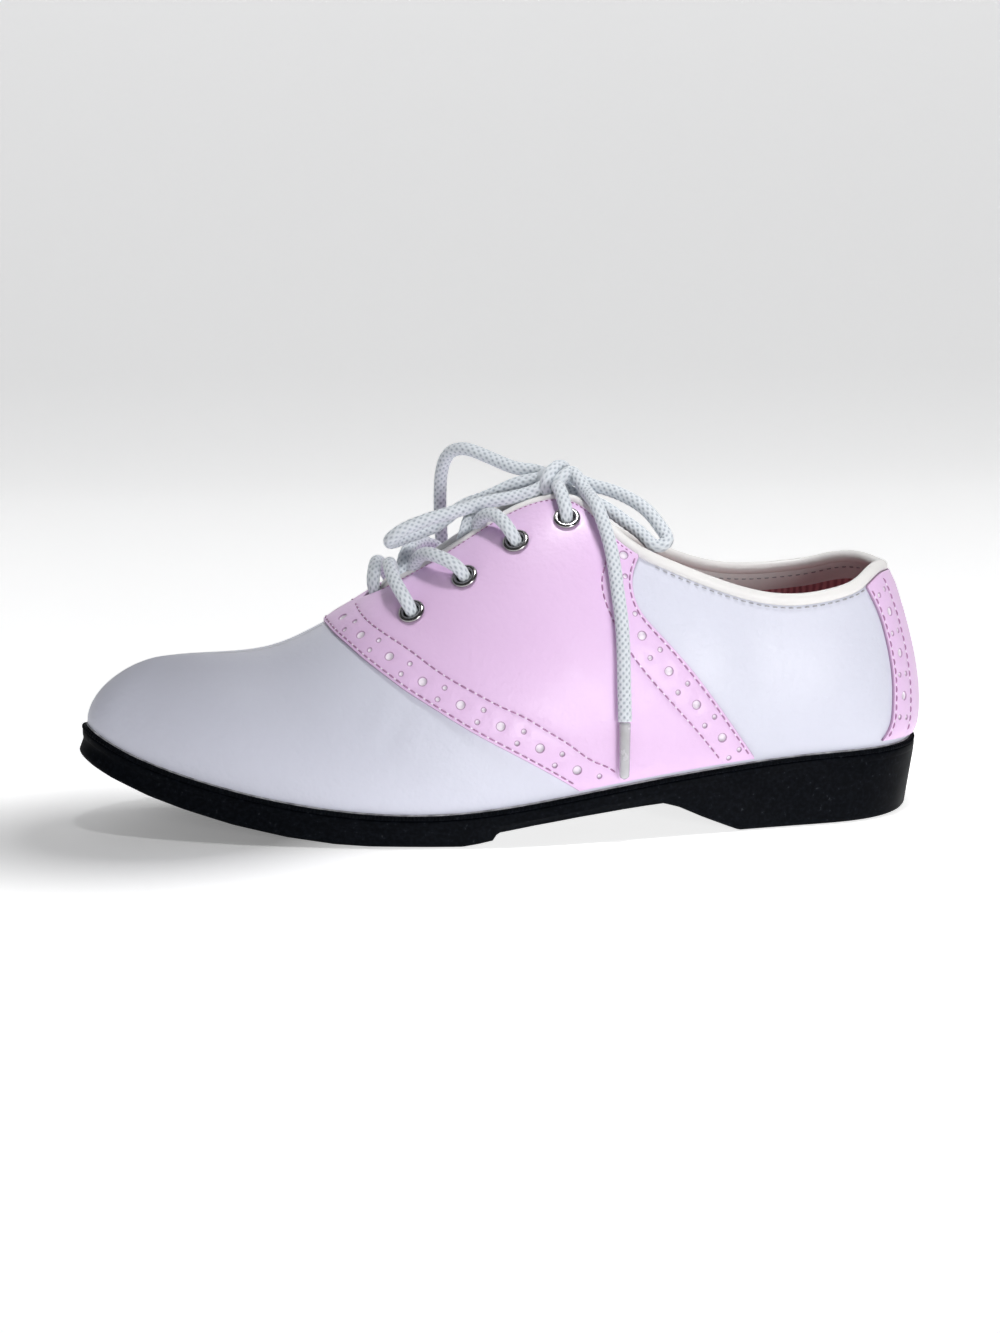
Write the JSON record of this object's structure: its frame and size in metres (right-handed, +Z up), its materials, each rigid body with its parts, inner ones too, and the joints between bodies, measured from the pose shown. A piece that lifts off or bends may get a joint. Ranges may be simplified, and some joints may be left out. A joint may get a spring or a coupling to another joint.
{
  "type": "lace-up flat",
  "caption": "Flat lace-up saddle shoe for the left foot: hollow leather upper with contrast saddle and counter, metal eyelets, tied round lace and a moulded low-heeled sole.",
  "frame": {"origin": "centre of the shoe's box at floor level, under the sole, measured without the free lace", "axes": "+X from toe to heel, +Y toward the inner (medial) side of the foot, +Z up from the floor"},
  "size_m": [0.27, 0.0948, 0.1168],
  "materials": {
    "outsole": "matte bluish black moulded rubber",
    "insole": "matte rose fabric",
    "white_leather": "smooth cool white with a soft gloss",
    "pink_leather": "smooth pale orchid pink with a soft gloss",
    "eyelet_metal": "bright nickel",
    "lace": "white braided cord",
    "aglet": "cloudy clear plastic"
  },
  "bodies": {
    "root": {"outsole": "outsole", "insole": "insole", "upper": "white_leather", "tongue": "white_leather", "saddle": "pink_leather", "counter": "pink_leather", "binding": "white_leather", "eyelet_lateral_1": "eyelet_metal", "eyelet_lateral_2": "eyelet_metal", "eyelet_lateral_3": "eyelet_metal", "eyelet_lateral_4": "eyelet_metal", "eyelet_medial_1": "eyelet_metal", "eyelet_medial_2": "eyelet_metal", "eyelet_medial_3": "eyelet_metal", "eyelet_medial_4": "eyelet_metal", "lace_bar": "lace", "lace_crossing_1": "lace", "lace_crossing_2": "lace", "lace_riser_lateral": "lace", "lace_riser_medial": "lace", "lace_knot": "lace", "lace_loop_toe": "lace", "lace_loop_heel": "lace", "lace_end_near": "lace", "lace_end_far": "lace", "aglet_near": "aglet", "aglet_far": "aglet"}
  },
  "joints": []
}
